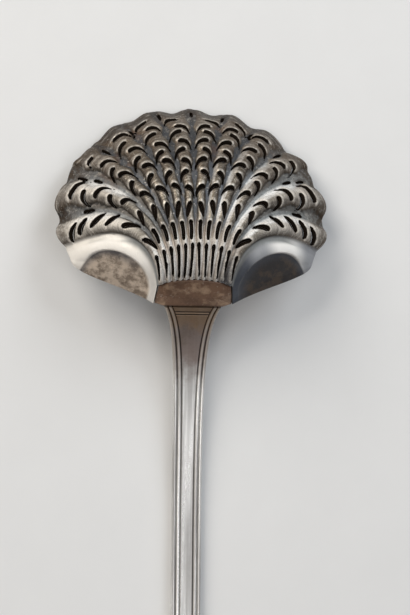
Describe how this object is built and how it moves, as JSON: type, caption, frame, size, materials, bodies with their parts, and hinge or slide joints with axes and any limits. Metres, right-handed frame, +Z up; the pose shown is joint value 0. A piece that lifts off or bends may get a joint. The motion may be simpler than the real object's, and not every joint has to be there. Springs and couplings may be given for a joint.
{
  "type": "sugar sifter spoon",
  "caption": "Sugar sifter spoon: a shell-shaped bowl with pierced ribs and plain ears, a heel plate, and a reeded stem that widens to a rounded end.",
  "frame": {"origin": "middle of the bounding box at its base: the bowl's far lip and the straight stretch of the stem touch z = 0", "axes": "+Z up from the table with the bowl's back up, +Y from the handle's end to the bowl's far lip, +X to the side"},
  "size_m": [0.0736, 0.2122, 0.026],
  "materials": {
    "tarnished_silver": "chased silver, tarnished in the hollows and worn bright on the ridges",
    "brown_silver": "plain silver under an even brown tarnish",
    "polished_silver": "handled silver, bright with fine scratches",
    "hard_solder": "dull silver solder"
  },
  "bodies": {
    "root": {"bowl": "tarnished_silver", "heel_plate": "brown_silver", "stem": "polished_silver", "solder_fillet": "hard_solder"}
  },
  "joints": []
}
